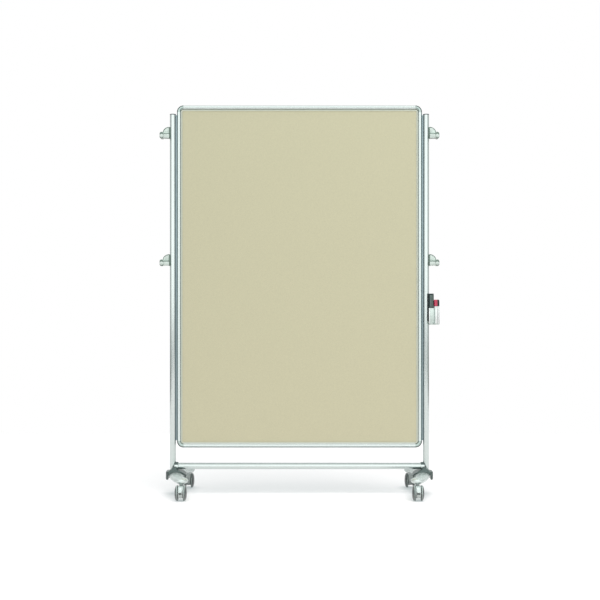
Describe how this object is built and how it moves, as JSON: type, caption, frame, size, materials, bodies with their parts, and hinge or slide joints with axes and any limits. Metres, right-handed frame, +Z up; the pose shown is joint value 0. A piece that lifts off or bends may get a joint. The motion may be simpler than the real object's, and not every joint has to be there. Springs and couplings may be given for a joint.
{
  "type": "mobile pinboard",
  "caption": "Freestanding framed pinboard on two curved legs with braked twin-wheel castors, side hooks and a caddy for an eraser and markers.",
  "frame": {"origin": "on the floor under the middle of the board, midway between the castors", "axes": "+Z up, +X to the right seen from the pinboard side, +Y to the back; the pinboard faces -Y"},
  "size_m": [1.399, 0.526, 1.934],
  "materials": {
    "anodised": "satin anodised extrusion",
    "corner": "satin grey casting",
    "pin_fabric": "tight beige felt weave",
    "core": "raw fibreboard",
    "writing_steel": "glossy white enamel",
    "cap": "fine texture",
    "hub": "satin dark grey",
    "leg": "silver powder coat",
    "hook": "light grey moulding",
    "castor_body": "light grey moulding",
    "wheel": "dark grey tread and cover",
    "steel": "zinc plated",
    "caddy": "dark clamp",
    "cup": "white cup",
    "eraser": "dark grey backing",
    "felt": "dark pressed felt",
    "marker_barrel": "white barrel",
    "cap_red": "crimson cap",
    "cap_black": "black cap"
  },
  "bodies": {
    "stand": {"frame_rail_left": "anodised", "frame_rail_top": "anodised", "frame_rail_right": "anodised", "frame_rail_bottom": "anodised", "frame_corner_top_left": "corner", "frame_corner_top_right": "corner", "frame_corner_bottom_right": "corner", "frame_corner_bottom_left": "corner", "pinboard_panel": "pin_fabric", "panel_core": "core", "whiteboard_panel": "writing_steel", "bottom_rail": "anodised", "upright_left": "anodised", "upright_cap_left": "cap", "side_strip_left": "anodised", "foot_leg_left": "leg", "foot_hub_left": "hub", "foot_bolt_left": "steel", "hook_upper_left": "hook", "hook_lower_left": "hook", "upright_right": "anodised", "upright_cap_right": "cap", "side_strip_right": "anodised", "foot_leg_right": "leg", "foot_hub_right": "hub", "foot_bolt_right": "steel", "hook_upper_right": "hook", "hook_lower_right": "hook", "castor_front_left_stem": "steel", "castor_front_right_stem": "steel", "castor_back_left_stem": "steel", "castor_back_right_stem": "steel", "caddy_clamp": "caddy", "caddy_cup": "cup"},
    "castor_front_left_swivel": {"castor_front_left_body": "castor_body", "castor_front_left_axle": "steel"},
    "castor_front_left_wheel_a": {"castor_front_left_wheel_a": "wheel"},
    "castor_front_left_wheel_b": {"castor_front_left_wheel_b": "wheel"},
    "castor_front_left_brake": {"castor_front_left_brake_pedal": "castor_body"},
    "castor_front_right_swivel": {"castor_front_right_body": "castor_body", "castor_front_right_axle": "steel"},
    "castor_front_right_wheel_a": {"castor_front_right_wheel_a": "wheel"},
    "castor_front_right_wheel_b": {"castor_front_right_wheel_b": "wheel"},
    "castor_front_right_brake": {"castor_front_right_brake_pedal": "castor_body"},
    "castor_back_left_swivel": {"castor_back_left_body": "castor_body", "castor_back_left_axle": "steel"},
    "castor_back_left_wheel_a": {"castor_back_left_wheel_a": "wheel"},
    "castor_back_left_wheel_b": {"castor_back_left_wheel_b": "wheel"},
    "castor_back_left_brake": {"castor_back_left_brake_pedal": "castor_body"},
    "castor_back_right_swivel": {"castor_back_right_body": "castor_body", "castor_back_right_axle": "steel"},
    "castor_back_right_wheel_a": {"castor_back_right_wheel_a": "wheel"},
    "castor_back_right_wheel_b": {"castor_back_right_wheel_b": "wheel"},
    "castor_back_right_brake": {"castor_back_right_brake_pedal": "castor_body"},
    "marker_red": {"marker_red_barrel": "marker_barrel"},
    "marker_red_cap": {"marker_red_cap": "cap_red"},
    "marker_black": {"marker_black_barrel": "marker_barrel"},
    "marker_black_cap": {"marker_black_cap": "cap_black"},
    "eraser": {"eraser_back": "eraser", "eraser_felt": "felt"}
  },
  "joints": [
    {"name": "castor_front_left_swivel", "type": "hinge", "parent": "stand", "child": "castor_front_left_swivel", "pos_m": [-0.571, -0.1885, 0.0755], "axis": [0, 0, 1], "continuous": true},
    {"name": "castor_front_left_wheel_a_spin", "type": "hinge", "parent": "castor_front_left_swivel", "child": "castor_front_left_wheel_a", "pos_m": [-0.571, -0.2165, 0.0375], "axis": [1, 0, 0], "continuous": true},
    {"name": "castor_front_left_wheel_b_spin", "type": "hinge", "parent": "castor_front_left_swivel", "child": "castor_front_left_wheel_b", "pos_m": [-0.571, -0.2165, 0.0375], "axis": [1, 0, 0], "continuous": true},
    {"name": "castor_front_left_brake_press", "type": "hinge", "parent": "castor_front_left_swivel", "child": "castor_front_left_brake", "pos_m": [-0.571, -0.2325, 0.062], "axis": [1, 0, 0], "range_deg": [0, 15]},
    {"name": "castor_front_right_swivel", "type": "hinge", "parent": "stand", "child": "castor_front_right_swivel", "pos_m": [0.571, -0.1885, 0.0755], "axis": [0, 0, 1], "continuous": true},
    {"name": "castor_front_right_wheel_a_spin", "type": "hinge", "parent": "castor_front_right_swivel", "child": "castor_front_right_wheel_a", "pos_m": [0.571, -0.2165, 0.0375], "axis": [1, 0, 0], "continuous": true},
    {"name": "castor_front_right_wheel_b_spin", "type": "hinge", "parent": "castor_front_right_swivel", "child": "castor_front_right_wheel_b", "pos_m": [0.571, -0.2165, 0.0375], "axis": [1, 0, 0], "continuous": true},
    {"name": "castor_front_right_brake_press", "type": "hinge", "parent": "castor_front_right_swivel", "child": "castor_front_right_brake", "pos_m": [0.571, -0.2325, 0.062], "axis": [1, 0, 0], "range_deg": [0, 15]},
    {"name": "castor_back_left_swivel", "type": "hinge", "parent": "stand", "child": "castor_back_left_swivel", "pos_m": [-0.571, 0.1885, 0.0755], "axis": [0, 0, 1], "continuous": true},
    {"name": "castor_back_left_wheel_a_spin", "type": "hinge", "parent": "castor_back_left_swivel", "child": "castor_back_left_wheel_a", "pos_m": [-0.571, 0.2165, 0.0375], "axis": [1, 0, 0], "continuous": true},
    {"name": "castor_back_left_wheel_b_spin", "type": "hinge", "parent": "castor_back_left_swivel", "child": "castor_back_left_wheel_b", "pos_m": [-0.571, 0.2165, 0.0375], "axis": [1, 0, 0], "continuous": true},
    {"name": "castor_back_left_brake_press", "type": "hinge", "parent": "castor_back_left_swivel", "child": "castor_back_left_brake", "pos_m": [-0.571, 0.2325, 0.062], "axis": [-1, 0, 0], "range_deg": [0, 15]},
    {"name": "castor_back_right_swivel", "type": "hinge", "parent": "stand", "child": "castor_back_right_swivel", "pos_m": [0.571, 0.1885, 0.0755], "axis": [0, 0, 1], "continuous": true},
    {"name": "castor_back_right_wheel_a_spin", "type": "hinge", "parent": "castor_back_right_swivel", "child": "castor_back_right_wheel_a", "pos_m": [0.571, 0.2165, 0.0375], "axis": [1, 0, 0], "continuous": true},
    {"name": "castor_back_right_wheel_b_spin", "type": "hinge", "parent": "castor_back_right_swivel", "child": "castor_back_right_wheel_b", "pos_m": [0.571, 0.2165, 0.0375], "axis": [1, 0, 0], "continuous": true},
    {"name": "castor_back_right_brake_press", "type": "hinge", "parent": "castor_back_right_swivel", "child": "castor_back_right_brake", "pos_m": [0.571, 0.2325, 0.062], "axis": [-1, 0, 0], "range_deg": [0, 15]},
    {"name": "marker_red_lift", "type": "slide", "parent": "stand", "child": "marker_red", "axis": [0, 0, 1], "range_m": [0, 0.1]},
    {"name": "marker_red_cap_pull", "type": "slide", "parent": "marker_red", "child": "marker_red_cap", "axis": [0, 0, 1], "range_m": [0, 0.04]},
    {"name": "marker_black_lift", "type": "slide", "parent": "stand", "child": "marker_black", "axis": [0, 0, 1], "range_m": [0, 0.1]},
    {"name": "marker_black_cap_pull", "type": "slide", "parent": "marker_black", "child": "marker_black_cap", "axis": [0, 0, 1], "range_m": [0, 0.04]},
    {"name": "eraser_lift", "type": "slide", "parent": "stand", "child": "eraser", "axis": [0, 0, 1], "range_m": [0, 0.075]}
  ]
}
